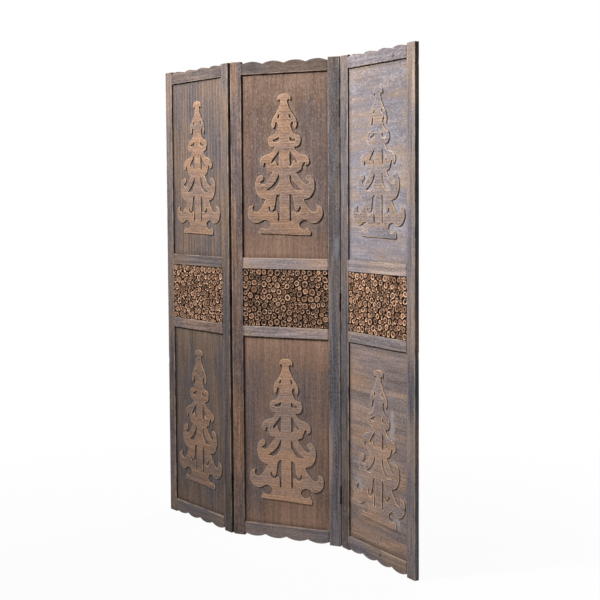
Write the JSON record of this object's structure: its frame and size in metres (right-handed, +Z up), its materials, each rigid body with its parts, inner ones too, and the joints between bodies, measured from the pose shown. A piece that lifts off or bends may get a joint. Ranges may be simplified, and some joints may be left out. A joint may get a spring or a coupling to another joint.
{
  "type": "folding room divider screen",
  "caption": "Free-standing wooden screen of hinged framed panels with scalloped rails, fretwork trees on recessed boards and a band of cross-cut twig slices.",
  "frame": {"origin": "on the floor, under the middle of the box around the screen in its rest pose, which is the half-folded zigzag", "axes": "+Z up; the middle panel runs along X and its front, with the fretwork trees, faces -Y; +X is the viewer's right when facing the front"},
  "size_m": [1.2164, 0.4832, 1.8],
  "materials": {
    "frame_wood": "weathered grey-brown, matt, thin pale wash",
    "board_wood": "weathered brown with a blue-grey wash, matt",
    "fretwork_wood": "lighter tan, horizontal grain, matt",
    "twig_slices": "raw end grain with dark bark rims",
    "hinge_metal": "dark bronze, slightly worn"
  },
  "bodies": {
    "middle_panel": {"middle_panel_left_stile": "frame_wood", "middle_panel_right_stile": "frame_wood", "middle_panel_top_rail": "frame_wood", "middle_panel_upper_mid_rail": "frame_wood", "middle_panel_lower_mid_rail": "frame_wood", "middle_panel_bottom_rail": "frame_wood", "middle_panel_upper_board": "board_wood", "middle_panel_lower_board": "board_wood", "middle_panel_twig_backing_board": "board_wood", "middle_panel_twig_infill": "twig_slices", "middle_panel_upper_tree": "fretwork_wood", "middle_panel_lower_tree": "fretwork_wood", "left_top_hinge_fixed_leaf": "hinge_metal", "left_top_hinge_pin": "hinge_metal", "left_middle_hinge_fixed_leaf": "hinge_metal", "left_middle_hinge_pin": "hinge_metal", "left_bottom_hinge_fixed_leaf": "hinge_metal", "left_bottom_hinge_pin": "hinge_metal", "right_top_hinge_fixed_leaf": "hinge_metal", "right_top_hinge_pin": "hinge_metal", "right_middle_hinge_fixed_leaf": "hinge_metal", "right_middle_hinge_pin": "hinge_metal", "right_bottom_hinge_fixed_leaf": "hinge_metal", "right_bottom_hinge_pin": "hinge_metal"},
    "left_panel": {"left_panel_left_stile": "frame_wood", "left_panel_right_stile": "frame_wood", "left_panel_top_rail": "frame_wood", "left_panel_upper_mid_rail": "frame_wood", "left_panel_lower_mid_rail": "frame_wood", "left_panel_bottom_rail": "frame_wood", "left_panel_upper_board": "board_wood", "left_panel_lower_board": "board_wood", "left_panel_twig_backing_board": "board_wood", "left_panel_twig_infill": "twig_slices", "left_panel_upper_tree": "fretwork_wood", "left_panel_lower_tree": "fretwork_wood", "left_top_hinge_moving_leaf": "hinge_metal", "left_middle_hinge_moving_leaf": "hinge_metal", "left_bottom_hinge_moving_leaf": "hinge_metal"},
    "right_panel": {"right_panel_left_stile": "frame_wood", "right_panel_right_stile": "frame_wood", "right_panel_top_rail": "frame_wood", "right_panel_upper_mid_rail": "frame_wood", "right_panel_lower_mid_rail": "frame_wood", "right_panel_bottom_rail": "frame_wood", "right_panel_upper_board": "board_wood", "right_panel_lower_board": "board_wood", "right_panel_twig_backing_board": "board_wood", "right_panel_twig_infill": "twig_slices", "right_panel_upper_tree": "fretwork_wood", "right_panel_lower_tree": "fretwork_wood", "right_top_hinge_moving_leaf": "hinge_metal", "right_middle_hinge_moving_leaf": "hinge_metal", "right_bottom_hinge_moving_leaf": "hinge_metal"}
  },
  "joints": [
    {"name": "left_fold", "type": "hinge", "parent": "middle_panel", "child": "left_panel", "pos_m": [-0.20908, 0.03471, 0.9], "axis": [0, 0, -1], "range_deg": [-28.3, 151.7]},
    {"name": "right_fold", "type": "hinge", "parent": "middle_panel", "child": "right_panel", "pos_m": [0.23492, 0.01071, 0.9], "axis": [0, 0, -1], "range_deg": [-35.2, 144.8]}
  ]
}
